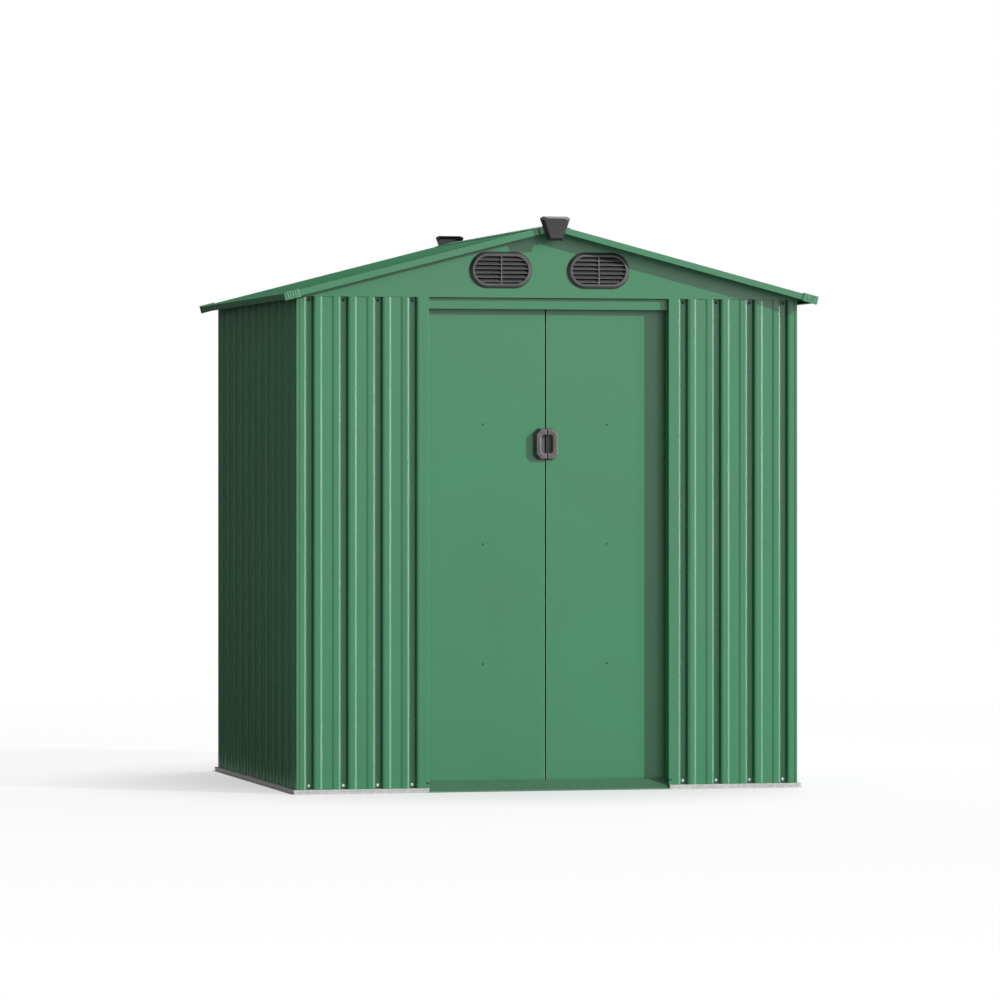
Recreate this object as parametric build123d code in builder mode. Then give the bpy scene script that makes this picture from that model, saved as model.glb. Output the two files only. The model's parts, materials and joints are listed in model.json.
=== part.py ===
"""Garden storage shed of folded steel sheet, with ribbed walls, a gabled roof and two sliding doors.

Millimetres. X runs along the front, the front faces -Y, Z is up; the origin is on the ground, in the middle.
Depth means the distance behind a wall's outer plane. Rise means the height over the roof's trim plane.
"""

import os
from math import cos, hypot, radians, sin, tan

from build123d import *

# Overall sizes
wall_width = 1800.0
rib_pitch = 121.75
side_rib_count = 12
wall_top = 1717.0
gable_edge = 21.1
roof_angle = 14.5
eave_overhang = 54.0
verge_overhang = 66.0
sheet = 1.0

# Ribs of the wall sheets
valley_width = 28.0
valley_floor = 20.0
valley_depth = 20.0
valley_rim = (6.0, 2.5)
crest_width = 23.0
recess_slope = 7.0
recess_depth = 3.0
corner_wrap = 9.0
corner_joint = 1.5

# Doorway, jambs and the front track over it
doorway_half = 431.0
jamb_depth = 50.0
jamb_flange = 34.0
jamb_back_flange = 22.0
track_web_gap = 1.0
track_fascia = 38.0
track_lip_drop = 26.0
track_lip = 9.0
hem = 8.0

# Floor rails and the sill
rail_height = 15.0
rail_step = 8.0
rail_step_in = 1.5
rail_out = 11.0
rail_foot = 18.0
rail_upright = 60.0
rail_hat = 13.0
rail_heel = 50.0
sill_height = 35.0
sill_lip = 4.0
sill_end_gap = 1.0
guide_gap = 5.0
guide_height = 26.0

# Doors, with their slides and handles
door_gap = 10.0
door_thick = 25.0
door_lap = 14.0
seam_half = 2.5
door_floor_gap = 11.0
door_top_gap = 16.0
door_lip = 16.0
brace_heights = (441.0, 859.0, 1280.0)
brace_width = 40.0
brace_thick = 20.0
slide_inset = 60.0
slide_width = 40.0
slide_plate = 5.0
slide_fit = 0.3
slide_reach = 40.0
shoe_drop = 18.0
handle_height = 1208.0
handle_base = (42.5, 110.0)
handle_flare = (8.5, 5.0)
handle_corner = 16.0
handle_thick = 27.0
handle_pocket = (17.0, 64.0)
pocket_rim = 4.0
handle_floor = 3.0

# Gables and their vents
gable_fold = 20.0
vent_x = 175.0
vent_rise = 96.0
vent_size = (225.0, 128.0)
vent_bevel = 10.0
vent_frame = 6.0
vent_thick = 12.0
vent_spigot = 10.0
vent_spigot_wall = 4.0
vent_hole_gap = 1.0
slat_count = 7
slat_size = (22.5, 1.6)
slat_angle = 45.0
slat_gap = 5.6
mullion_width = 4.0
mullion_depth = 8.0

# Roof sheets, trims and frame
roof_rib_depth = 6.0
roof_ridge_gap = 14.0
trim_face = 21.5
trim_flange = 25.0
trim_hem = 7.0
ridge_cap_width = 58.0
ridge_cap_overrun = 9.0
cap_length = 51.5
cap_side = 16.0
cap_wall = 3.5
cap_flutes = 5
flute_radius = 3.4
flute_sink = 2.2
ridge_end_rise = 27.0
ridge_end_height = 84.0
ridge_end_rim = (109.0, 54.0)
ridge_end_face = (82.0, 42.0)
ridge_end_bevel = 8.0
ridge_end_clip = (11.0, 7.0)
ridge_end_thick = 24.0
ridge_end_wall = 2.5
rail_drop = 37.0
plate_flange = 15.0
beam_width = 40.0
beam_depth = 30.0
ridge_beam_drop = 70.0
beam_x = 450.0
mid_rail_height = 900.0
mid_rail_width = 40.0
mid_rail_depth = 20.0

# Values that follow from the sizes above
wall_depth = side_rib_count * rib_pitch
half_width = wall_width / 2
half_depth = wall_depth / 2
inner_depth = valley_depth + sheet
verge_y = half_depth + verge_overhang
ridge_y = verge_y + ridge_cap_overrun
slope = radians(roof_angle)
ridge_height = wall_top + gable_edge + half_width * tan(slope)
ridge_end_top = ridge_height + ridge_end_rise
eave_run = (half_width + eave_overhang) / cos(slope)
pan_rise = -2 * sheet - roof_rib_depth
vent_z = wall_top + vent_rise
vent_ring = [size - 2 * vent_bevel for size in vent_size]
vent_opening = [size - 2 * vent_frame for size in vent_ring]
door_depth = jamb_depth + door_gap
door_width = doorway_half - seam_half + door_lap
door_bottom = sheet + door_floor_gap
door_top = wall_top - track_web_gap - door_top_gap
guide_depth = door_depth + door_thick + slide_plate + guide_gap
track_bottom = wall_top - track_web_gap - track_fascia
track_lip_height = wall_top - track_web_gap - track_lip_drop
track_back_depth = guide_depth + track_lip
handle_face = (handle_base[0] - handle_flare[0], handle_base[1] - 2 * handle_flare[1])


def mitred(points, thickness):
    """Outline of a folded sheet: one face runs through the points, and the metal lies to their left."""
    path = [Vector(*point) for point in points]
    turns = []
    for before, after in zip(path, path[1:]):
        along = (after - before).normalized()
        turns.append(Vector(-along.Y, along.X))
    back = [path[0] + turns[0] * thickness]
    for corner, left, right in zip(path[1:], turns, turns[1:]):
        middle = left + right
        back.append(corner + middle * (thickness / left.dot(middle)))
    back.append(path[-1] + turns[-1] * thickness)
    return [(v.X, v.Y) for v in path + back[::-1]]


def ribbed(start, end, valleys):
    """Points along a wall, as distance and depth, from start to end with a valley at each listed place."""
    points = [(start, 0.0)]
    half_top, half_floor = valley_width / 2, valley_floor / 2
    rim_width, rim_depth = valley_rim
    for number, centre in enumerate(valleys):
        if number:
            left = valleys[number - 1] + half_top + crest_width
            right = centre - half_top - crest_width
            points += [(left, 0.0), (left + recess_slope, recess_depth)]
            points += [(right - recess_slope, recess_depth), (right, 0.0)]
        points += [(centre - half_top - rim_width, 0.0), (centre - half_top, rim_depth)]
        points += [(centre - half_floor, valley_depth), (centre + half_floor, valley_depth)]
        points += [(centre + half_top, rim_depth), (centre + half_top + rim_width, 0.0)]
    return points + [(end, 0.0)]


def extruded(outline, plane, length):
    """Solid of a closed outline on a plane."""
    with BuildPart() as solid:
        with BuildSketch(plane):
            with BuildLine():
                Polyline(*outline, close=True)
            make_face()
        extrude(amount=length)
    return solid.part


def across(outline, left, right):
    """Solid along X of an outline given as Y and Z."""
    return extruded(outline, Plane.YZ.offset(left), right - left)


def along_depth(outline, front, back):
    """Solid along Y of an outline given as X and Z."""
    return extruded(outline, Plane.XZ.offset(-back), back - front)


def upright(outline, bottom, top):
    """Solid along Z of an outline given as X and Y."""
    return extruded(outline, Plane.XY.offset(bottom), top - bottom)


def slope_plane(run):
    """Plane square to the right roof slope at a run from the ridge: local X is Y, local Y is the rise."""
    origin = (run * cos(slope), 0, ridge_height - run * sin(slope))
    return Plane(origin=origin, x_dir=(0, 1, 0), z_dir=(cos(slope), 0, -sin(slope)))


def down_slope(outline, start, end):
    """Solid along the right slope of an outline given as Y and rise, from one run to another."""
    return extruded(outline, slope_plane(start), end - start)


def on_slope(run, rise):
    """X and Z of a point on the right slope."""
    return (run * cos(slope) + rise * sin(slope), ridge_height - run * sin(slope) + rise * cos(slope))


def roof_line(x, rise):
    """Height of the plane at a rise over the trim plane, at a distance from the middle."""
    return ridge_height - x * tan(slope) + rise / cos(slope)


def joined(*pieces):
    """One part made of several solids or shapes that touch."""
    with BuildPart() as whole:
        for piece in pieces:
            add(piece)
    return whole.part


def minus(body, *tools):
    """A part with others cut out of it."""
    with BuildPart() as rest:
        add(body)
        for tool in tools:
            add(tool, mode=Mode.SUBTRACT)
    return rest.part


def block(low, high):
    """Box between two corners."""
    size = [b - a for a, b in zip(low, high)]
    with BuildPart() as box:
        with Locations(tuple(low)):
            Box(*size, align=(Align.MIN, Align.MIN, Align.MIN))
    return box.part


def trimmed(body, plane):
    """The part of a body on the side that a plane's normal points to."""
    with BuildPart() as kept:
        add(body)
        split(bisect_by=plane, keep=Keep.TOP)
    return kept.part


def mirrored(body, plane):
    """The body's image in a plane, as a part of its own."""
    with BuildPart() as image:
        mirror(body, about=plane)
    return image.part


def saved(name, body):
    """Writes one node."""
    body.label = name
    export_step(body, f"parts/{name}.step")


def both_sides(name, right):
    """Writes a right-hand piece and its left-hand twin."""
    saved(name.format("right"), right)
    saved(name.format("left"), mirrored(right, Plane.YZ))


def make_walls():
    """Ribbed sheets of the five wall panels."""
    side_valleys = [(number + 0.5) * rib_pitch - half_depth for number in range(side_rib_count)]
    side = ribbed(-half_depth, half_depth, side_valleys)
    side = [(-half_depth, corner_wrap)] + side + [(half_depth, corner_wrap)]
    plan = [(half_width - depth, place) for place, depth in mitred(side, sheet)]
    both_sides("{}_wall", upright(plan, rail_height, wall_top))

    reach = half_width - corner_wrap - corner_joint
    count = int((reach - valley_width / 2) // rib_pitch)
    back_valleys = [number * rib_pitch for number in range(-count, count + 1)]
    back = mitred(ribbed(-reach, reach, back_valleys), sheet)
    saved("back_wall", upright([(x, half_depth - depth) for x, depth in back], rail_height, wall_top))

    first = int((doorway_half + valley_width) // rib_pitch) + 1
    front_valleys = [number * rib_pitch for number in range(first, count + 1)]
    front = mitred(ribbed(doorway_half + sheet, reach, front_valleys), sheet)
    front = upright([(x, depth - half_depth) for x, depth in front], rail_height, wall_top)
    both_sides("front_wall_{}", front)


def make_jambs():
    """Channels that line the doorway's sides, notched round the track."""
    face = -half_depth
    path = [
        (doorway_half + jamb_flange, face + sheet),
        (doorway_half + sheet, face + sheet),
        (doorway_half + sheet, face),
        (doorway_half, face),
        (doorway_half, face + jamb_depth),
        (doorway_half + jamb_back_flange, face + jamb_depth),
        (doorway_half + jamb_back_flange, face + jamb_depth - sheet),
        (doorway_half + sheet, face + jamb_depth - sheet),
        (doorway_half + sheet, face + 2 * sheet),
        (doorway_half + jamb_flange, face + 2 * sheet),
    ]
    channel = upright(path, rail_height, wall_top)
    notch_low = (0, face + inner_depth - slide_fit, track_bottom - slide_fit)
    notch_high = (half_width, 0, ridge_height)
    both_sides("{}_jamb", minus(channel, block(notch_low, notch_high)))


def rail_outline(guide):
    """Closed outline of the floor rail, one sheet thick."""
    out, into = -rail_out, inner_depth
    hat = inner_depth + rail_hat
    end = guide_depth + sheet if guide else rail_heel
    outline = [
        (-rail_foot, 0.0),
        (end, 0.0),
    ]
    if guide:
        outline += [(end, guide_height), (guide_depth, guide_height), (guide_depth, sheet)]
    else:
        outline += [(end, sheet)]
    outline += [
        (hat, sheet),
        (hat, rail_upright),
        (into, rail_upright),
        (into, rail_height),
        (out, rail_height),
        (out, rail_step),
        (out + rail_step_in, rail_step),
        (out + rail_step_in, sheet),
        (-rail_foot, sheet),
    ]
    return outline


def rail_hollow():
    """Space under the rail's ledge and in its upright, open to the ground."""
    inside = -rail_out + rail_step_in + sheet
    hat = inner_depth + rail_hat - sheet
    return [
        (inside, sheet),
        (hat, sheet),
        (hat, rail_upright - sheet),
        (inner_depth + sheet, rail_upright - sheet),
        (inner_depth + sheet, rail_height - sheet),
        (inside, rail_height - sheet),
    ]


def make_floor_rails():
    """Galvanised rails that the walls stand on, mitred at the corners, and the sill across the doorway."""
    length = half_width + rail_foot
    depth_length = half_depth + rail_foot
    front_mitre = Plane(origin=(half_width, -half_depth, 0), z_dir=(-1, -1, 0))
    side_mitre = Plane(origin=(half_width, -half_depth, 0), z_dir=(1, 1, 0))
    back_mitre = Plane(origin=(half_width, half_depth, 0), z_dir=(-1, 1, 0))
    side_back_mitre = Plane(origin=(half_width, half_depth, 0), z_dir=(1, -1, 0))

    front_shape = [(-half_depth + place, height) for place, height in rail_outline(True)]
    front_hollow = [(-half_depth + place, height) for place, height in rail_hollow()]
    start = doorway_half + sheet
    front = minus(across(front_shape, start, length), across(front_hollow, start, length))
    both_sides("front_{}_floor_rail", trimmed(front, front_mitre))

    back_shape = [(half_depth - place, height) for place, height in rail_outline(False)]
    back_hollow = [(half_depth - place, height) for place, height in rail_hollow()]
    back = minus(across(back_shape, -length, length), across(back_hollow, -length, length))
    back = trimmed(trimmed(back, back_mitre), Plane(origin=(-half_width, half_depth, 0), z_dir=(1, 1, 0)))
    saved("back_floor_rail", back)

    side_shape = [(half_width - place, height) for place, height in rail_outline(False)]
    side_hollow = [(half_width - place, height) for place, height in rail_hollow()]
    side = minus(
        along_depth(side_shape, -depth_length, depth_length),
        along_depth(side_hollow, -depth_length, depth_length),
    )
    both_sides("{}_floor_rail", trimmed(trimmed(side, side_mitre), side_back_mitre))


def make_sill():
    """Green bottom track across the doorway: a ramp in front, and behind it the lip that the shoes run on."""
    face = -half_depth
    outline = [
        (-rail_out, 0.0),
        (guide_depth + sheet, 0.0),
        (guide_depth + sheet, guide_height),
        (guide_depth, guide_height),
        (guide_depth, sheet),
        (jamb_depth, sheet),
        (jamb_depth, sill_height),
        (-rail_out, sill_lip),
    ]
    climb = (sill_height - sill_lip) / (jamb_depth + rail_out)
    cover = sheet * hypot(1, climb)
    hollow = [
        (-rail_out + sheet, sheet),
        (jamb_depth - sheet, sheet),
        (jamb_depth - sheet, sill_height - climb * sheet - cover),
        (-rail_out + sheet, sill_lip + climb * sheet - cover),
    ]
    reach = doorway_half - sill_end_gap
    shape = across([(face + place, height) for place, height in outline], -reach, reach)
    room = across([(face + place, height) for place, height in hollow], -reach, reach)
    saved("door_sill", minus(shape, room))


def make_track():
    """Top track behind the front wall, with a fascia over the doorway and a lip that carries the doors."""
    face = -half_depth
    path = [
        (inner_depth + hem, track_bottom),
        (inner_depth, track_bottom),
        (inner_depth, wall_top - track_web_gap),
        (track_back_depth, wall_top - track_web_gap),
        (track_back_depth, track_lip_height),
        (guide_depth, track_lip_height),
    ]
    outline = [(face + place, height) for place, height in mitred(path[::-1], sheet)]
    reach = half_width - inner_depth
    saved("door_track", across(outline, -reach, reach))


def make_gables():
    """Flat sheets over the walls, in halves that meet under the ridge, with vent holes and folded edges."""
    hole = [size + 2 * (vent_spigot_wall + vent_hole_gap) for size in vent_opening]
    plate = [
        (0.0, wall_top),
        (half_width, wall_top),
        (half_width, roof_line(half_width, pan_rise)),
        (0.0, roof_line(0, pan_rise)),
    ]
    face = along_depth(plate, -half_depth, -half_depth + sheet)
    fold_end = half_width - inner_depth
    bottom_fold = block((0, -half_depth, wall_top), (fold_end, -half_depth + gable_fold, wall_top + sheet))
    top = [
        (0.0, roof_line(0, pan_rise)),
        (fold_end, roof_line(fold_end, pan_rise)),
        (fold_end, roof_line(fold_end, pan_rise - sheet)),
        (0.0, roof_line(0, pan_rise - sheet)),
    ]
    top_fold = along_depth(top, -half_depth, -half_depth + gable_fold)
    with BuildPart() as gable:
        add(face)
        add(bottom_fold)
        add(top_fold)
        with BuildSketch(Plane.XZ.offset(half_depth + sheet)):
            with Locations((vent_x, vent_z)):
                SlotOverall(*hole)
        extrude(amount=-4 * sheet, mode=Mode.SUBTRACT)
    both_sides("front_gable_{}", gable.part)
    both_sides("back_gable_{}", mirrored(gable.part, Plane.XZ))


def vent():
    """Louvred vent over a gable's hole at the front right, with a bevelled rim, slats and a mullion."""
    face = Plane.XZ.offset(half_depth)
    with BuildPart() as body:
        with BuildSketch(face):
            with Locations((vent_x, vent_z)):
                SlotOverall(*vent_size)
        with BuildSketch(face.offset(vent_thick)):
            with Locations((vent_x, vent_z)):
                SlotOverall(*vent_ring)
        loft()
        with BuildSketch(face):
            with Locations((vent_x, vent_z)):
                SlotOverall(*[size + 2 * vent_spigot_wall for size in vent_opening])
        extrude(amount=-vent_spigot)
        with BuildSketch(face.offset(vent_thick)):
            with Locations((vent_x, vent_z)):
                SlotOverall(*vent_opening)
        extrude(amount=-vent_thick - vent_spigot, mode=Mode.SUBTRACT)
    slat_pitch = (vent_opening[1] - slat_gap) / (slat_count - 1)
    slat_rise = slat_size[0] * sin(radians(slat_angle))
    lowest = vent_z - vent_opening[1] / 2 + slat_gap - slat_pitch + slat_rise / 2
    front = -half_depth - vent_thick
    middle = front + slat_rise / 2 + slat_size[1]
    with BuildPart() as slats:
        for number in range(slat_count):
            with BuildSketch(Plane.YZ.offset(vent_x - vent_opening[0] / 2)):
                with Locations((middle, lowest + number * slat_pitch)):
                    Rectangle(*slat_size, rotation=slat_angle)
            extrude(amount=vent_opening[0])
        low = (vent_x - mullion_width / 2, front + slat_size[1], vent_z - vent_opening[1] / 2)
        high = (vent_x + mullion_width / 2, front + mullion_depth, vent_z + vent_opening[1] / 2)
        add(block(low, high))
        with BuildSketch(face.offset(vent_thick)):
            with Locations((vent_x, vent_z)):
                SlotOverall(vent_opening[0] + sheet, vent_opening[1] + sheet)
        extrude(amount=-vent_thick - vent_spigot, mode=Mode.INTERSECT)
    return joined(body.part, slats.part)


def make_vents():
    """Two vents on the front gable and two on the back one."""
    right = vent()
    front = Compound([right, mirrored(right, Plane.YZ)])
    saved("front_vents", front)
    saved("back_vents", front.mirror(Plane.XZ))


def make_frame():
    """Rails along the wall tops and middles, and beams under the roof."""
    inner = half_width - inner_depth
    top_corner = roof_line(inner, pan_rise)
    bottom = wall_top - rail_drop
    lean = (inner - trim_flange * cos(slope), top_corner + trim_flange * sin(slope))
    path = [lean, (inner, top_corner), (inner, bottom), (inner - plate_flange, bottom)]
    outline = mitred(path[::-1], sheet)
    right = along_depth(outline, -half_depth + track_back_depth + slide_fit, half_depth - inner_depth)
    back_face = half_depth - inner_depth
    reach = inner - trim_flange - slide_fit
    back_path = [
        (back_face - plate_flange, bottom),
        (back_face, bottom),
        (back_face, wall_top),
        (back_face - gable_fold, wall_top),
    ]
    back = across(mitred(back_path, sheet), -reach, reach)
    saved("wall_top_rails", Compound([right, mirrored(right, Plane.YZ), back]))

    low, high = mid_rail_height - mid_rail_width / 2, mid_rail_height + mid_rail_width / 2
    side_path = [(inner, low), (inner, high), (inner - mid_rail_depth, high)]
    side_path = [(inner - mid_rail_depth, low)] + side_path
    middle = along_depth(mitred(side_path, sheet), -half_depth + track_back_depth, back_face)
    back_mid = [
        (back_face - mid_rail_depth, low),
        (back_face, low),
        (back_face, high),
        (back_face - mid_rail_depth, high),
    ]
    back_reach = inner - mid_rail_depth - slide_fit
    back_middle = across(mitred(back_mid, sheet), -back_reach, back_reach)
    saved("wall_middle_rails", Compound([middle, mirrored(middle, Plane.YZ), back_middle]))

    span = half_depth - gable_fold
    ridge = [
        (0.0, roof_line(0, pan_rise)),
        (beam_width / 2, roof_line(beam_width / 2, pan_rise)),
        (beam_width / 2, ridge_height - ridge_beam_drop),
        (beam_width / 2 - sheet, ridge_height - ridge_beam_drop),
        (beam_width / 2 - sheet, roof_line(beam_width / 2 - sheet, pan_rise - sheet)),
        (0.0, roof_line(0, pan_rise - sheet)),
    ]
    ridge_half = along_depth(ridge, -span, span)
    ridge_beam = joined(ridge_half, mirrored(ridge_half, Plane.YZ))
    run = beam_x / cos(slope)
    beam_path = [
        on_slope(run - beam_width / 2, pan_rise - beam_depth),
        on_slope(run - beam_width / 2, pan_rise),
        on_slope(run + beam_width / 2, pan_rise),
        on_slope(run + beam_width / 2, pan_rise - beam_depth),
    ]
    beam = along_depth(mitred(beam_path[::-1], sheet), -span, span)
    saved("roof_beams", Compound([ridge_beam, beam, mirrored(beam, Plane.YZ)]))


def roof_sheet():
    """Right roof sheet, with ribs that run from ridge to eave."""
    edge = verge_y - sheet
    count = int((edge - valley_width) // rib_pitch)
    points = [(-edge, -sheet)]
    for number in range(-count, count + 1):
        centre = number * rib_pitch
        points += [
            (centre - valley_width / 2, -sheet),
            (centre - valley_floor / 2, -sheet - roof_rib_depth),
            (centre + valley_floor / 2, -sheet - roof_rib_depth),
            (centre + valley_width / 2, -sheet),
        ]
    points += [(edge, -sheet)]
    return down_slope(mitred(points[::-1], sheet), roof_ridge_gap, eave_run - sheet)


def make_roof():
    """Roof sheets, ridge capping, verge and eave trims, corner caps and plastic ridge ends."""
    both_sides("{}_roof", roof_sheet())

    verge_path = [
        (-verge_y + trim_hem, -trim_face),
        (-verge_y, -trim_face),
        (-verge_y, 0.0),
        (-verge_y + trim_flange, 0.0),
    ]
    verge = down_slope(mitred(verge_path[::-1], sheet), -trim_face, eave_run - trim_flange)
    verge = trimmed(verge, Plane.YZ)
    both_sides("front_{}_verge", verge)
    both_sides("back_{}_verge", mirrored(verge, Plane.XZ))

    eave_path = [
        on_slope(eave_run - trim_flange, 0.0),
        on_slope(eave_run, 0.0),
        on_slope(eave_run, -trim_face),
        on_slope(eave_run - trim_hem, -trim_face),
    ]
    eave_outline = mitred(eave_path[::-1], sheet)
    both_sides("{}_eave", along_depth(eave_outline, -verge_y, verge_y))


def make_ridge():
    """Metal ridge capping with its ends folded down."""
    tip = ridge_height + sheet / cos(slope)
    outer = on_slope(ridge_cap_width, sheet)
    inner = on_slope(ridge_cap_width, 0.0)
    strip = [(0.0, tip), outer, inner, (0.0, ridge_height)]
    low = on_slope(ridge_cap_width, -trim_face)
    tab = [(0.0, tip), outer, low, (0.0, roof_line(0, -trim_face))]
    half = joined(
        along_depth(strip, -ridge_y - sheet, ridge_y + sheet),
        along_depth(tab, -ridge_y - sheet, -ridge_y),
        along_depth(tab, ridge_y, ridge_y + sheet),
    )
    saved("ridge_cap", joined(half, mirrored(half, Plane.YZ)))


def keystone(widths, height, top, inset):
    """Six-sided outline, wider at its top, with clipped upper corners."""
    half_top, half_bottom = widths[0] / 2 - inset, widths[1] / 2 - inset
    high, low = top - inset, top - height + inset
    clip_across, clip_down = ridge_end_clip
    outline = [
        (half_bottom, low),
        (half_top, high - clip_down),
        (half_top - clip_across, high),
        (-half_top + clip_across, high),
        (-half_top, high - clip_down),
        (-half_bottom, low),
    ]
    Polyline(*outline, close=True)


def make_ridge_ends():
    """Hollow plastic keystones over the ridge's two ends, open at the back, with a bare face."""
    rim = Plane.XZ.offset(ridge_y + sheet)
    face_height = ridge_end_height - 2 * ridge_end_bevel
    face_top = ridge_end_top - ridge_end_bevel
    inner_depth_y = ridge_end_thick - ridge_end_wall
    with BuildPart() as shell:
        with BuildSketch(rim):
            with BuildLine():
                keystone(ridge_end_rim, ridge_end_height, ridge_end_top, 0.0)
            make_face()
        with BuildSketch(rim.offset(ridge_end_thick)):
            with BuildLine():
                keystone(ridge_end_face, face_height, face_top, 0.0)
            make_face()
        loft()
        with BuildSketch(rim):
            with BuildLine():
                keystone(ridge_end_rim, ridge_end_height, ridge_end_top, ridge_end_wall)
            make_face()
        with BuildSketch(rim.offset(inner_depth_y)):
            with BuildLine():
                keystone(ridge_end_face, face_height, face_top, ridge_end_wall)
            make_face()
        loft(mode=Mode.SUBTRACT)
    saved("front_ridge_end", shell.part)
    saved("back_ridge_end", mirrored(shell.part, Plane.XZ))


def make_corner_caps():
    """Fluted caps over the roof's four corners, slipped over the verge and eave trims."""
    start, end = eave_run - cap_length, eave_run + cap_wall
    front = -verge_y - cap_wall
    top_rise, low_rise = cap_wall, -trim_face - cap_wall
    back = front + cap_side
    outer = [(front, low_rise), (back, low_rise), (back, top_rise), (front, top_rise)]
    inner = [
        (front + cap_wall, low_rise - cap_wall),
        (front + 2 * cap_side, low_rise - cap_wall),
        (front + 2 * cap_side, 0.0),
        (front + cap_wall, 0.0),
    ]
    shell = minus(down_slope(outer, start, end), down_slope(inner, start - cap_wall, end - cap_wall))
    flute_pitch = (cap_length - 2 * flute_radius) / cap_flutes
    with BuildPart() as cap:
        add(shell)
        for number in range(cap_flutes):
            run = eave_run - flute_radius - (number + 0.5) * flute_pitch
            centre = on_slope(run, low_rise)
            plane = Plane(
                origin=(centre[0], front + flute_sink, centre[1]),
                x_dir=(cos(slope), 0, -sin(slope)),
                z_dir=(sin(slope), 0, cos(slope)),
            )
            with BuildSketch(plane):
                Circle(flute_radius)
            extrude(amount=top_rise - low_rise)
    body = minus(cap.part, down_slope(inner, start - cap_wall, end - cap_wall))
    front_caps = Compound([body, mirrored(body, Plane.YZ)])
    saved("front_corner_caps", front_caps)
    saved("back_corner_caps", front_caps.mirror(Plane.XZ))


def make_doors():
    """Flat door leaves with folded edges, their braces, slides and handles, closed on the middle."""
    left, right = seam_half, seam_half + door_width
    face = -half_depth + door_depth
    back = face + door_thick
    leaf = block((left, face, door_bottom), (right, back, door_top))
    inside = block(
        (left + sheet, face + sheet, door_bottom + sheet),
        (right - sheet, back - sheet, door_top - sheet),
    )
    window = block(
        (left + door_lip, back - 2 * sheet, door_bottom + 2 * door_lip),
        (right - door_lip, back + sheet, door_top - 2 * door_lip),
    )
    both_sides("{}_door", minus(leaf, inside, window))

    braces = []
    for height in brace_heights:
        low, high = height - brace_width / 2, height + brace_width / 2
        front, end = face + sheet, face + brace_thick
        path = [(end, high), (front, high), (front, low), (end, low)]
        braces.append(across(mitred(path, sheet), left + sheet, right - sheet))
    right_braces = Compound(braces)
    saved("right_door_braces", right_braces)
    saved("left_door_braces", right_braces.mirror(Plane.YZ))

    slides = []
    track_y = -half_depth
    for centre in (left + slide_inset, right - slide_inset):
        x_low, x_high = centre - slide_width / 2, centre + slide_width / 2
        lip_top = track_lip_height + sheet
        hook_back = track_y + track_back_depth - sheet - slide_fit
        hook_front = track_y + guide_depth + 2 * sheet
        arm_low = lip_top + slide_plate * 2
        hanger = [
            (back, door_top - slide_reach),
            (back + slide_plate, door_top - slide_reach),
            (back + slide_plate, arm_low),
            (hook_front, arm_low),
            (hook_front, lip_top + slide_fit),
            (hook_back, lip_top + slide_fit),
            (hook_back, arm_low + slide_plate),
            (back, arm_low + slide_plate),
        ]
        slides.append(across(hanger, x_low, x_high))
        lip_front = track_y + guide_depth
        shoe_bottom = guide_height - shoe_drop
        shoe_top = guide_height + sheet + slide_plate
        shoe = [
            (back, shoe_bottom),
            (lip_front - slide_fit, shoe_bottom),
            (lip_front - slide_fit, guide_height + sheet),
            (lip_front + sheet + slide_fit, guide_height + sheet),
            (lip_front + sheet + slide_fit, shoe_bottom),
            (lip_front + sheet + slide_plate, shoe_bottom),
            (lip_front + sheet + slide_plate, shoe_top),
            (back + slide_plate, shoe_top),
            (back + slide_plate, shoe_top + slide_reach),
            (back, shoe_top + slide_reach),
        ]
        slides.append(across(shoe, x_low, x_high))
    right_slides = Compound(slides)
    saved("right_door_slides", right_slides)
    saved("left_door_slides", right_slides.mirror(Plane.YZ))


def half_octagon(size):
    """Closed outline of half a handle, straight along the seam."""
    width, height = size
    corner = handle_corner
    outline = [
        (seam_half, handle_height - height / 2),
        (seam_half + width - corner, handle_height - height / 2),
        (seam_half + width, handle_height - height / 2 + corner),
        (seam_half + width, handle_height + height / 2 - corner),
        (seam_half + width - corner, handle_height + height / 2),
        (seam_half, handle_height + height / 2),
    ]
    Polyline(*outline, close=True)


def make_handles():
    """Plastic handle halves with a finger pocket that opens towards the seam."""
    door_face = Plane.XZ.offset(half_depth - door_depth)
    with BuildPart() as handle:
        with BuildSketch(door_face):
            with BuildLine():
                half_octagon(handle_base)
            make_face()
        with BuildSketch(door_face.offset(handle_thick)):
            with BuildLine():
                half_octagon(handle_face)
            make_face()
        loft()
        with BuildSketch(door_face.offset(handle_floor)):
            with Locations((seam_half, handle_height)):
                RectangleRounded(2 * handle_pocket[0], handle_pocket[1], handle_corner / 2)
        extrude(amount=handle_thick, mode=Mode.SUBTRACT)
        for grown in (0.0, pocket_rim):
            with BuildSketch(door_face.offset(handle_thick - pocket_rim + grown)):
                with Locations((seam_half, handle_height)):
                    opening = (2 * (handle_pocket[0] + grown), handle_pocket[1] + 2 * grown)
                    RectangleRounded(*opening, handle_corner / 2 + grown)
        loft(mode=Mode.SUBTRACT)
    both_sides("{}_door_handle", handle.part)


def main():
    os.makedirs("parts", exist_ok=True)
    make_floor_rails()
    make_sill()
    make_walls()
    make_jambs()
    make_track()
    make_gables()
    make_vents()
    make_frame()
    make_roof()
    make_ridge()
    make_ridge_ends()
    make_corner_caps()
    make_doors()
    make_handles()


main()
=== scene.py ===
"""Studio view of a metal storage shed of folded green steel sheet.

Metres, in the frame of the solids: X runs along the front, the front faces -Y, Z is up from the ground.
"""

import json
import math

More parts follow.
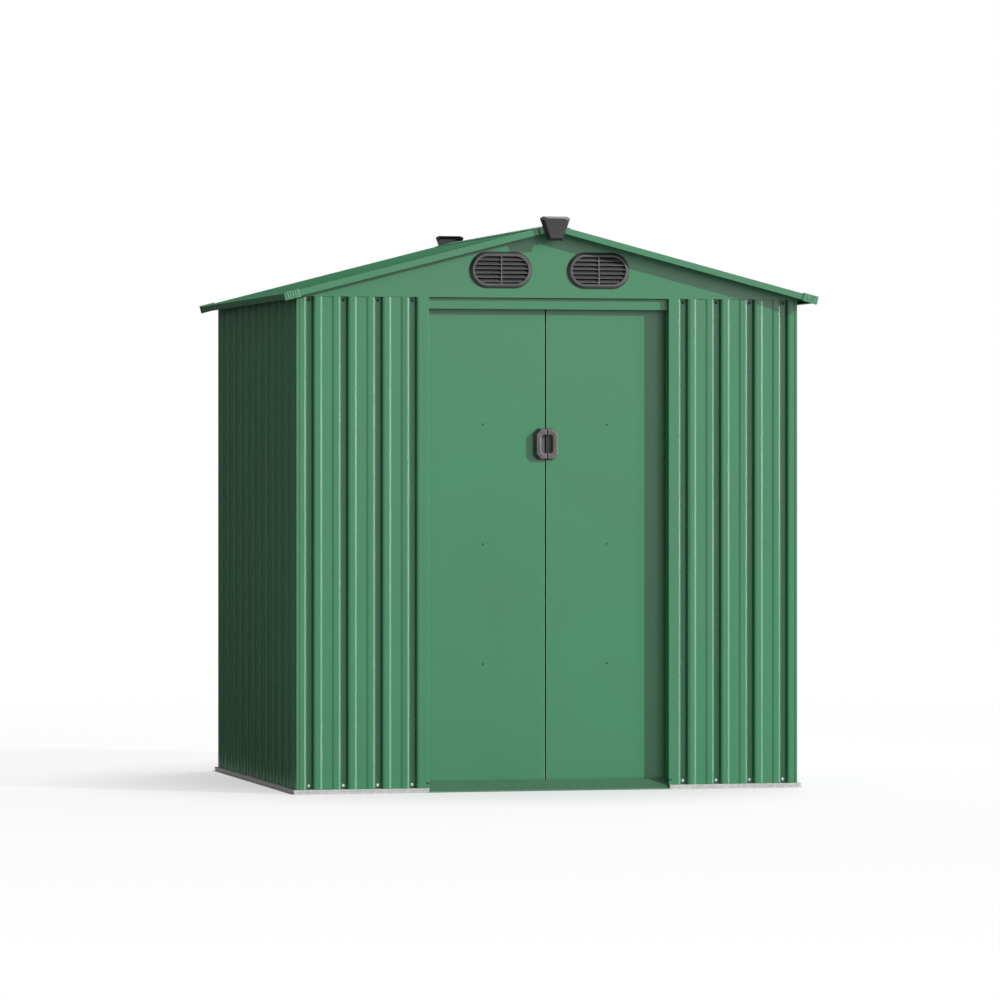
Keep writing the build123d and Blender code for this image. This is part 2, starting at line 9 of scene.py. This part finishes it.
import bpy
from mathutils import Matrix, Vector


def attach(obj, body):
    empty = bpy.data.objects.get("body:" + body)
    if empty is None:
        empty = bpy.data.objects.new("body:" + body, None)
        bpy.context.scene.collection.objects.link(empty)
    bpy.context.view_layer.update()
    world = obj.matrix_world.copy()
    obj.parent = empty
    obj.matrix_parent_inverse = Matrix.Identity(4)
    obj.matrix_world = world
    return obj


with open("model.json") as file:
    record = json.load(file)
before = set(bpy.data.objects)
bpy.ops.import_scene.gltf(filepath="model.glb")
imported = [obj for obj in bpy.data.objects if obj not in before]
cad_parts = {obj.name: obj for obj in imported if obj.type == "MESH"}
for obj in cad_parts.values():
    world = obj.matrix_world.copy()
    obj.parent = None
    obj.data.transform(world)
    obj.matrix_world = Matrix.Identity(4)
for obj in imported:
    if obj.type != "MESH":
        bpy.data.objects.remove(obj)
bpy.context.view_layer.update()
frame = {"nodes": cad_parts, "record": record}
nodes = frame["nodes"]

# Places taken from the solids' own sizes
HALF_WIDTH = 0.900
HALF_DEPTH = 0.7305
SHEET = 0.001
WALL_TOP = 1.717
DOOR_FACE = -HALF_DEPTH + 0.060
RIB_PITCH = 0.12175
VALLEY_DEPTH = 0.020
FRONT_VALLEYS = [side * number * RIB_PITCH for side in (-1, 1) for number in (4, 5, 6, 7)]
SIDE_VALLEYS = [(number + 0.5) * RIB_PITCH - HALF_DEPTH for number in range(12)]
BACK_VALLEYS = [number * RIB_PITCH for number in range(-7, 8)]
RIDGE_HEIGHT = 1.97085
SLOPE = math.radians(14.5)
EAVE_RUN = 0.954 / math.cos(SLOPE)
ROOF_TROUGHS = [number * RIB_PITCH for number in range(-6, 7)]
ROOF_TROUGH_DEPTH = 0.007

# Linear colours
GREEN = (0.0203, 0.176, 0.0723)
SHADE_BLACK = (0.004, 0.004, 0.004, 1.0)
WHITE = (1.0, 1.0, 1.0, 1.0)

BEVEL_SAMPLES = 6
HEX = 6
ROUND = 18
DOT_SIDES = 16


def node_maker(graph):
    """A function that adds a node to a tree and sets its inputs, by name, or by place as _0, _1 and so on."""

    def node(kind, settings=(), **inputs):
        made = graph.nodes.new(kind)
        for key, value in dict(settings).items():
            setattr(made, key, value)
        for key, value in inputs.items():
            numbered = key[0] == "_" and key[1:].isdigit()
            socket = made.inputs[int(key[1:])] if numbered else made.inputs[key.replace("_", " ")]
            if isinstance(value, bpy.types.NodeSocket):
                graph.links.new(value, socket)
            else:
                socket.default_value = value
        return made

    return node


def tree(name):
    """New empty node material, as the material, its node tree and its node maker."""
    material = bpy.data.materials.new(name)
    material.use_nodes = True
    graph = material.node_tree
    graph.nodes.clear()
    return material, graph, node_maker(graph)


def finished(graph, node, shader):
    """Links a shader to the material's output."""
    graph.links.new(shader.outputs[0], node("ShaderNodeOutputMaterial").inputs[0])


def object_place(node):
    """The place on the object."""
    return node("ShaderNodeTexCoord").outputs["Object"]


def noise(node, place, scale, detail=3.0, roughness=0.5):
    """Noise factor at a scale."""
    return node("ShaderNodeTexNoise", Vector=place, Scale=scale, Detail=detail, Roughness=roughness).outputs[0]


def math_of(node, operation, first, second=None):
    """The result of a maths operation on one or two values."""
    inputs = {"_0": first} if second is None else {"_0": first, "_1": second}
    return node("ShaderNodeMath", settings={"operation": operation}, **inputs).outputs[0]


def ranged(node, value, low, high, start=0.3, end=0.7):
    """A factor mapped to a range."""
    return node("ShaderNodeMapRange", _0=value, _1=start, _2=end, _3=low, _4=high).outputs[0]


def mixed(node, factor, first, second):
    """Two colours mixed by a factor."""
    return node("ShaderNodeMix", settings={"data_type": "RGBA"}, _0=factor, _6=first, _7=second).outputs[2]


def shaded(colour, factor, lift=0.0):
    """A colour times a factor, plus a lift."""
    return (*[min(1.0, channel * factor + lift) for channel in colour], 1.0)


def rounded(node, radius):
    """The normal with edges rounded to a radius."""
    return node("ShaderNodeBevel", settings={"samples": BEVEL_SAMPLES}, Radius=radius).outputs[0]


def wear_and_highlight_edges(node, radius, amount):
    """The amount along sharp outer edges and 0 on flat faces: where edges are painted lighter, as wear and as painted
    highlight.
    """
    sharp = node("ShaderNodeNewGeometry").outputs["Normal"]
    dot_product = {"operation": "DOT_PRODUCT"}
    alike = node("ShaderNodeVectorMath", settings=dot_product, _0=rounded(node, radius), _1=sharp).outputs["Value"]
    mask = node("ShaderNodeMapRange", _0=alike, _1=0.999, _2=0.86, _3=0.0, _4=1.0).outputs[0]
    return math_of(node, "MULTIPLY", mask, amount)


def paint(name, colour, rough=0.42, specular=0.80, wear_and_highlight=0.35, radius=0.0016, ior=1.5):
    """Satin powder coat: faint mottling, edges painted lighter as wear and as painted highlight, a fine orange-peel
    skin and slack in the sheet.
    """
    material, graph, node = tree(name)
    place = object_place(node)
    cloud = noise(node, place, 1.7, 2.0)
    speck = noise(node, place, 95.0, 4.0, 0.65)
    base = mixed(node, ranged(node, cloud, 0.0, 1.0), shaded(colour, 0.93), shaded(colour, 1.06))
    grain = mixed(node, ranged(node, speck, 0.0, 0.16), base, shaded(colour, 0.8))
    # Edges painted lighter: partly wear, partly painted highlight along the rims.
    worn_and_highlit = mixed(node, wear_and_highlight_edges(node, radius, wear_and_highlight), grain, shaded(colour, 1.6, 0.10))
    peel = noise(node, place, 420.0, 2.0)
    slack = noise(node, place, 3.2, 1.0)
    skin = node("ShaderNodeBump", Strength=0.10, Distance=0.0004, Height=peel, Normal=rounded(node, radius)).outputs[0]
    sheet = node("ShaderNodeBump", Strength=0.05, Distance=0.004, Height=slack, Normal=skin).outputs[0]
    gloss = ranged(node, cloud, rough - 0.02, rough + 0.04)
    shader = node("ShaderNodeBsdfPrincipled", Base_Color=worn_and_highlit, Roughness=gloss, Normal=sheet)
    shader.inputs["Specular IOR Level"].default_value = specular
    shader.inputs["IOR"].default_value = ior
    finished(graph, node, shader)
    return material


def galvanised(name):
    """Dull zinc coating with spangle."""
    material, graph, node = tree(name)
    place = object_place(node)
    cells = node("ShaderNodeTexVoronoi", Vector=place, Scale=90.0).outputs["Color"]
    grey = node("ShaderNodeRGBToBW", Color=cells).outputs[0]
    cloud = noise(node, place, 9.0, 4.0)
    base = mixed(node, ranged(node, grey, 0.0, 1.0, 0.1, 0.9), (0.47, 0.47, 0.463, 1.0), (0.63, 0.63, 0.62, 1.0))
    stain = mixed(node, ranged(node, cloud, 0.0, 0.3), base, (0.43, 0.42, 0.40, 1.0))
    bump = node("ShaderNodeBump", Strength=0.12, Distance=0.0004, Height=grey).outputs[0]
    gloss = ranged(node, grey, 0.42, 0.58, 0.1, 0.9)
    shader = node("ShaderNodeBsdfPrincipled", Base_Color=stain, Roughness=gloss, Normal=bump)
    shader.inputs["Metallic"].default_value = 0.10
    finished(graph, node, shader)
    return material


def plastic(name, colour, rough=0.5, wear_and_highlight=0.35, metallic=0.0, shade_range=None, rub_and_highlight=None, radius=0.0012):
    """Moulded plastic with a fine grain and edges painted lighter, as rubbing and as painted highlight. It turns black,
    as painted shade deep inside, where |Y| falls through the shade range.
    """
    material, graph, node = tree(name)
    place = object_place(node)
    speck = noise(node, place, 260.0, 4.0, 0.6)
    cloud = noise(node, place, 14.0, 2.0)
    base = mixed(node, ranged(node, cloud, 0.0, 1.0), shaded(colour, 0.85), shaded(colour, 1.15))
    # Edges painted lighter or light grey: partly rubbing, partly painted highlight.
    rubbed_and_highlit = (rub_and_highlight, rub_and_highlight, rub_and_highlight, 1.0) if rub_and_highlight else shaded(colour, 2.2, 0.03)
    final = mixed(node, wear_and_highlight_edges(node, radius, wear_and_highlight), base, rubbed_and_highlit)
    # Painted shade: black deeper inside, where the vents' slats lie in shade.
    if shade_range:
        shade_depth = math_of(node, "ABSOLUTE", node("ShaderNodeSeparateXYZ", Vector=place).outputs["Y"])
        final = mixed(node, ranged(node, shade_depth, 1.0, 0.0, *shade_range), final, SHADE_BLACK)
    bump = node("ShaderNodeBump", Strength=0.25, Distance=0.0003, Height=speck, Normal=rounded(node, radius)).outputs[0]
    gloss = ranged(node, speck, rough - 0.08, rough + 0.1)
    shader = node("ShaderNodeBsdfPrincipled", Base_Color=final, Roughness=gloss, Normal=bump)
    shader.inputs["Specular IOR Level"].default_value = 0.4
    shader.inputs["Metallic"].default_value = metallic
    finished(graph, node, shader)
    return material


# Edge lightening is partly wear and partly painted highlight: strongest on the caps, doors, vents and handles, where it
# paints the shine along their rims.
green = paint("green_paint", GREEN)
zinc = galvanised("zinc")
roof_green = paint("green_paint_roof", GREEN, rough=0.34, specular=0.3, wear_and_highlight=0.5, ior=1.2)
wall_green = paint("green_paint_walls", GREEN, wear_and_highlight=0.08, radius=0.0034)
cap_green = paint("green_paint_caps", GREEN, rough=0.34, wear_and_highlight=1.0, radius=0.0026)
door_green = paint("green_paint_doors", GREEN, wear_and_highlight=1.0, radius=0.0040)
# The sill's paint is darker and greyer than the green: painted shade and reflection on its ramp.
sill_shade_green = paint("green_paint_sill_shade", shaded(GREEN, 0.66, 0.050)[:3], rough=0.5, specular=1.0, wear_and_highlight=0.9)
dark_plastic = plastic("dark_plastic", (0.075, 0.075, 0.075), wear_and_highlight=0.8)
# Vents: black deep between the slats as painted shade, and rims painted light grey as painted highlight.
vent_plastic = plastic("vent_plastic", (0.095, 0.095, 0.095), wear_and_highlight=0.9, shade_range=(0.7270, 0.7385), rub_and_highlight=0.30, radius=0.0016)
# Handles: rims painted light grey, a painted highlight of their gloss.
handle_plastic = plastic("handle_plastic", (0.095, 0.087, 0.087), rough=0.34, wear_and_highlight=1.0, rub_and_highlight=0.42, radius=0.0050)
end_plastic = plastic("ridge_end_plastic", (0.030, 0.029, 0.030))
slide_plastic = plastic("slide_plastic", (0.02, 0.02, 0.02), wear_and_highlight=0.2)
screw_dark = plastic("screw_coating", (0.012, 0.013, 0.012), rough=0.42)
screw_bright = plastic("screw_zinc", (0.85, 0.85, 0.84), rough=0.3, metallic=0.9)

finishes = {"green_sheet": green, "galvanised_steel": zinc, "dark_plastic": dark_plastic,
            "slide_plastic": slide_plastic}
special = {"front_ridge_end": end_plastic, "back_ridge_end": end_plastic,
           "left_roof": roof_green, "right_roof": roof_green,
           "front_corner_caps": cap_green, "back_corner_caps": cap_green,
           "left_wall": wall_green, "right_wall": wall_green,
           "left_door": door_green, "right_door": door_green, "door_sill": sill_shade_green,
           "front_vents": vent_plastic, "back_vents": vent_plastic,
           "left_door_handle": handle_plastic, "right_door_handle": handle_plastic}
node_slots = {part["node"]: part["material_slot"] for part in frame["record"]["subparts"]}
for name, piece in nodes.items():
    material = special.get(name, finishes.get(node_slots.get(name), green))
    if not piece.material_slots:
        piece.data.materials.append(material)
    for slot in piece.material_slots:
        slot.material = material


def linked(name, mesh):
    """New object of a mesh, in the scene."""
    made = bpy.data.objects.new(name, mesh)
    bpy.context.scene.collection.objects.link(made)
    return made


def joined(name, verts, faces, material, body):
    """One object of many small shapes, riding on a body."""
    mesh = bpy.data.meshes.new(name)
    mesh.from_pydata(verts, [], faces)
    mesh.materials.append(material)
    mesh.validate()
    mesh.update()
    piece = linked(name, mesh)
    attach(piece, body)
    return piece


def turned(verts, faces, point, normal, profile, sides):
    """Adds the rings of a profile of (radius, height) pairs, turned about a normal, and the faces between them."""
    turn = Vector(normal).to_track_quat("Z", "Y").to_matrix()
    point = Vector(point)
    rings = []
    for radius, height in profile:
        ring = []
        for number in range(sides if radius else 1):
            angle = 2 * math.pi * number / sides
            verts.append(point + turn @ Vector((radius * math.cos(angle), radius * math.sin(angle), height)))
            ring.append(len(verts) - 1)
        rings.append(ring)
    for lower, upper in zip(rings, rings[1:]):
        for number in range(sides):
            after = (number + 1) % sides
            if len(upper) == 1:
                faces.append((lower[number], lower[after], upper[0]))
            else:
                faces.append((lower[number], lower[after], upper[after], upper[number]))
    return rings


def heads(name, spots, material, radius=0.0048, rise=0.0032, flange=0.0066):
    """Screws with a washer under a hexagonal head, at (point, normal) places on the shed."""
    verts, faces = [], []
    seat = 0.0014
    washer = [(flange, 0.0), (flange, 0.0008), (flange * 0.86, 0.0013), (radius, seat)]
    head = [(radius, seat), (radius, rise * 0.82), (radius * 0.84, rise), (0.0, rise)]
    for point, normal in spots:
        turned(verts, faces, point, normal, washer, ROUND)
        turned(verts, faces, point, normal, head, HEX)
    joined(name, verts, faces, material, "shed")


def dots(name, spots, material, body, radius, height=0.0006):
    """Flat round discs: rivet heads, and dark discs painted as the shade in holes."""
    verts, faces = [], []
    for point, normal in spots:
        rings = turned(verts, faces, point, normal, [(radius, 0.0), (radius * 0.8, height)], DOT_SIDES)
        faces.append(tuple(rings[-1]))
    joined(name, verts, faces, material, body)


def slabs(name, boxes, material):
    """Thin plates between pairs of corners, on the shed."""
    verts, faces = [], []
    sides = ((0, 1, 3, 2), (4, 6, 7, 5), (0, 4, 5, 1), (2, 3, 7, 6), (0, 2, 6, 4), (1, 5, 7, 3))
    for low, high in boxes:
        start = len(verts)
        verts += [(x, y, z) for x in (low[0], high[0]) for y in (low[1], high[1]) for z in (low[2], high[2])]
        faces += [tuple(start + corner for corner in side) for side in sides]
    joined(name, verts, faces, material, "shed")


def wall_spots(height, front=True):
    """Places in the valleys of the wall sheets, at a height."""
    spots = [((x, -HALF_DEPTH + VALLEY_DEPTH, height), (0, -1, 0)) for x in FRONT_VALLEYS] if front else []
    spots += [((x, HALF_DEPTH - VALLEY_DEPTH, height), (0, 1, 0)) for x in BACK_VALLEYS]
    spots += [((side * (HALF_WIDTH - VALLEY_DEPTH), y, height), (side, 0, 0)) for side in (-1, 1) for y in SIDE_VALLEYS]
    return spots


def roof_spots(runs):
    """Places in the troughs of both roof sheets, at distances down the slope."""
    spots = []
    for side in (-1, 1):
        for run in runs:
            x = run * math.cos(SLOPE) - ROOF_TROUGH_DEPTH * math.sin(SLOPE)
            z = RIDGE_HEIGHT - run * math.sin(SLOPE) - ROOF_TROUGH_DEPTH * math.cos(SLOPE)
            normal = (side * math.sin(SLOPE), 0, math.cos(SLOPE))
            spots += [((side * x, y, z), normal) for y in ROOF_TROUGHS]
    return spots


# Screws: dark at the top and middle of the walls and on the roof, over the beams and rails, and zinc at the foot
heads("top_wall_screws", wall_spots(1.7055), screw_dark, 0.0038, 0.0028, 0.0054)
heads("foot_wall_screws", wall_spots(0.0270), screw_bright, 0.0042, 0.0030, 0.0058)
heads("middle_wall_screws", wall_spots(0.900, front=False), screw_dark)
roof_runs = (0.110, 0.450 / math.cos(SLOPE), EAVE_RUN - 0.075)
heads("roof_screws", roof_spots(roof_runs), screw_dark, 0.0036, 0.0026, 0.0052)

# Edges of the sheets that lap over their neighbours, dark plates at the foot of the jambs that are painted shade
# in their drain slots, and the foam tape that closes the corner joints of the sheets from inside
laps, slot_shades, tapes = [], [], []
for side in (-1, 1):
    lap, slot = side * 0.5125, side * 0.4365
    laps.append(((lap - 0.0045, -HALF_DEPTH - 0.0006, 0.0155), (lap + 0.0045, -HALF_DEPTH, WALL_TOP - 0.001)))
    slot_shades.append(((slot - 0.0050, -HALF_DEPTH - 0.0003, 0.0300), (slot + 0.0050, -HALF_DEPTH, 0.0345)))
    for end in (-1, 1):
        across = sorted((side * 0.8862, side * 0.8945))
        along = sorted((end * (HALF_DEPTH - SHEET), end * (HALF_DEPTH - SHEET - 0.0012)))
        tapes.append(((across[0], along[0], 0.0160), (across[1], along[1], WALL_TOP - 0.002)))
slabs("sheet_laps", laps, green)
slabs("jamb_slot_shades", slot_shades, screw_dark)
slabs("corner_tapes", tapes, slide_plastic)

# Small heads that hold the inner braces to the door leaves, and at the right leaf's edge two dark discs, painted shade
# in its unused handle holes
brace_rivets = (0.441, 0.859, 1.277)
left_spots = [((-0.2254, DOOR_FACE, z), (0, -1, 0)) for z in brace_rivets]
right_spots = [((0.2215, DOOR_FACE, z), (0, -1, 0)) for z in brace_rivets]
right_spots += [((0.430, DOOR_FACE, z), (0, -1, 0)) for z in (1.165, 1.243)]
dots("left_door_rivets", left_spots, screw_dark, "left_leaf", radius=0.0034)
dots("right_door_rivets_and_hole_shades", right_spots, screw_dark, "right_leaf", radius=0.0034)


def seen_rays(node):
    """1 for camera, glossy and transmission rays, and 0 for the others."""
    path = node("ShaderNodeLightPath").outputs
    seen = math_of(node, "MAXIMUM", path["Is Camera Ray"], path["Is Glossy Ray"])
    return math_of(node, "MAXIMUM", seen, path["Is Transmission Ray"])


# Pale floor that keeps the shed's shadow and turns white with distance. It is dark for the rays that light the shed.
floor_mesh = bpy.data.meshes.new("floor")
reach = 400.0
corners = [(-reach, -reach, 0), (reach, -reach, 0), (reach, reach, 0), (-reach, reach, 0)]
floor_mesh.from_pydata(corners, [], [(0, 1, 2, 3)])
floor = linked("floor", floor_mesh)
floor.location.z = -0.0005
material, graph, node = tree("pale_floor")
seen = seen_rays(node)
span = node("ShaderNodeVectorMath", settings={"operation": "LENGTH"}, _0=object_place(node)).outputs["Value"]
far = ranged(node, span, 0.86, 1.0, 2.2, 7.0)
near = ranged(node, span, 0.62, 1.0, 0.9, 1.7)
share = math_of(node, "MULTIPLY", seen, math_of(node, "MULTIPLY", near, far))
mist = node("ShaderNodeTexNoise", Scale=0.7).outputs[0]
pale = mixed(node, mist, (0.90, 0.90, 0.90, 1.0), (0.94, 0.94, 0.94, 1.0))
matte = node("ShaderNodeBsdfDiffuse", Color=mixed(node, seen, (0.22, 0.22, 0.22, 1.0), pale)).outputs[0]
white = node("ShaderNodeEmission", Strength=1.0).outputs[0]
finished(graph, node, node("ShaderNodeMixShader", _0=share, _1=matte, _2=white))
floor_mesh.materials.append(material)

# World: white where it is seen, and dim as a light
world = bpy.data.worlds.new("studio")
bpy.context.scene.world = world
world.use_nodes = True
graph = world.node_tree
graph.nodes.clear()
node = node_maker(graph)
level = node("ShaderNodeMapRange", _0=seen_rays(node), _3=0.18, _4=1.0).outputs[0]
backdrop = node("ShaderNodeBackground", _0=WHITE, _1=level)
graph.links.new(backdrop.outputs[0], node("ShaderNodeOutputWorld").inputs[0])


def lamp(name, kind, energy, direction, place=(0, 0, 0), **settings):
    """A lamp that shines along a direction."""
    data = bpy.data.lights.new(name, kind)
    data.energy = energy
    for key, value in settings.items():
        setattr(data, key, value)
    made = linked(name, data)
    made.location = place
    made.rotation_mode = "QUATERNION"
    made.rotation_quaternion = Vector(direction).to_track_quat("-Z", "Y")
    return made


# The key throws the shadows, and the glint shows only as the shine along the rims of the ribs
key = lamp("key", "SUN", 3.76, (-1.22, 1.0, -0.49), angle=math.radians(1.2))
key.visible_glossy = False
glint = lamp("glint", "SUN", 2.0, (-0.864, 0.507, 0.0), angle=math.radians(8.0))
glint.visible_diffuse = False
lamp("overhead", "AREA", 235.0, (-2.0, -2.0, -4.2), (2.0, 2.0, 6.0), shape="SQUARE", size=4.0)
lamp("front_fill", "AREA", 147.0, (-3.0, 9.5, -2.8), (3.0, -10.0, 4.0), shape="SQUARE", size=5.0)

# Dark card behind the shed and on the ground at its left, seen only in reflections
card_mesh = bpy.data.meshes.new("dark_card")
upright = [(-14, 5, 0), (14, 5, 0), (14, 5, 9), (-14, 5, 9)]
flat = [(-14, -0.6, 0.002), (-1.0, -0.6, 0.002), (-1.0, 5, 0.002), (-14, 5, 0.002)]
card_mesh.from_pydata(upright + flat, [], [(0, 1, 2, 3), (4, 5, 6, 7)])
card = linked("dark_card", card_mesh)
card.visible_camera = card.visible_diffuse = card.visible_shadow = card.visible_transmission = False
material, graph, node = tree("card_cloth")
weave = noise(node, object_place(node), 30.0)
cloth = mixed(node, weave, (0.10, 0.10, 0.10, 1.0), (0.12, 0.12, 0.12, 1.0))
finished(graph, node, node("ShaderNodeBsdfDiffuse", Color=cloth))
card_mesh.materials.append(material)

camera_data = bpy.data.cameras.new("camera")
camera = linked("camera", camera_data)
camera.location = (-4.53793, -18.69771, 1.13101)
camera.rotation_euler = (math.radians(90), 0.0, math.radians(-13.640))
camera_data.sensor_width = 36.0
camera_data.lens = 191.411
camera_data.shift_y = -0.03382
camera_data.clip_end = 200.0
bpy.context.scene.camera = camera
bpy.context.scene.view_settings.view_transform = "Standard"
